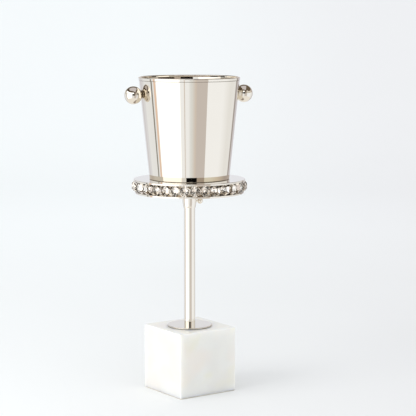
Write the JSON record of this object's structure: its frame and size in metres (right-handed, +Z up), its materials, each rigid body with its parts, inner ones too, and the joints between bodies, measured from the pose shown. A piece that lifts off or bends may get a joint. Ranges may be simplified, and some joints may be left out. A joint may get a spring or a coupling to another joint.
{
  "type": "champagne bucket stand",
  "caption": "Pedestal champagne cooler: marble block, metal pole, swivelling tray edged with faceted crystals, and a lift-off tapered bucket with ball handles.",
  "frame": {"origin": "centre of the felt pad's underside, on the floor", "axes": "+Z up along the pole; X and Y along the block's sides, with the thumbscrew towards +X"},
  "size_m": [0.277, 0.247, 0.678],
  "materials": {
    "marble": "honed white with faint grey and cream veins",
    "polished_nickel": "mirror polished nickel plate",
    "plated_steel": "plain plated steel, machined",
    "crystal": "clear, faceted and polished",
    "setting_metal": "dull darkened metal",
    "felt": "matt pressed felt",
    "brass": "turned"
  },
  "bodies": {
    "base": {"base_felt_pad": "felt", "marble_block": "marble", "base_flange": "polished_nickel", "base_washer": "plated_steel", "base_lock_washer": "plated_steel", "base_bolt": "plated_steel", "pole_tube": "polished_nickel", "pole_foot_plug": "plated_steel", "pole_top_plug": "plated_steel"},
    "tray": {"collar": "polished_nickel", "collar_washer": "plated_steel", "collar_nut": "plated_steel", "tray_bottom_plate": "polished_nickel", "tray_posts": "plated_steel", "tray_screws": "plated_steel", "tray_top_plate": "polished_nickel", "crystal_band": "setting_metal", "crystals": "crystal"},
    "thumbscrew_tip": {"thumbscrew_tip": "brass"},
    "thumbscrew": {"thumbscrew": "polished_nickel"},
    "bucket": {"bucket_shell": "polished_nickel", "bucket_rim_band": "polished_nickel", "bucket_foot_pad": "felt", "right_handle_plate": "setting_metal", "right_handle_neck": "setting_metal", "right_handle_ball": "polished_nickel", "right_handle_screw": "plated_steel", "right_handle_washer": "plated_steel", "left_handle_plate": "setting_metal", "left_handle_neck": "setting_metal", "left_handle_ball": "polished_nickel", "left_handle_screw": "plated_steel", "left_handle_washer": "plated_steel"}
  },
  "joints": [
    {"name": "tray_swivel", "type": "hinge", "parent": "base", "child": "tray", "pos_m": [0, 0, 0.426], "axis": [0, 0, 1], "continuous": true},
    {"name": "thumbscrew_travel", "type": "slide", "parent": "tray", "child": "thumbscrew_tip", "axis": [1, 0, 0], "range_m": [0, 0.0024]},
    {"name": "thumbscrew_turn", "type": "hinge", "parent": "thumbscrew_tip", "child": "thumbscrew", "pos_m": [0.0273, 0, 0.4105], "axis": [1, 0, 0], "range_deg": [0, 1080]},
    {"name": "bucket_lift", "type": "slide", "parent": "tray", "child": "bucket", "axis": [0, 0, 1], "range_m": [0, 0.25]}
  ],
  "couplings": [
    {"joint": "thumbscrew_travel", "follows": "thumbscrew_turn", "m_per_rad": 0.00012732}
  ]
}
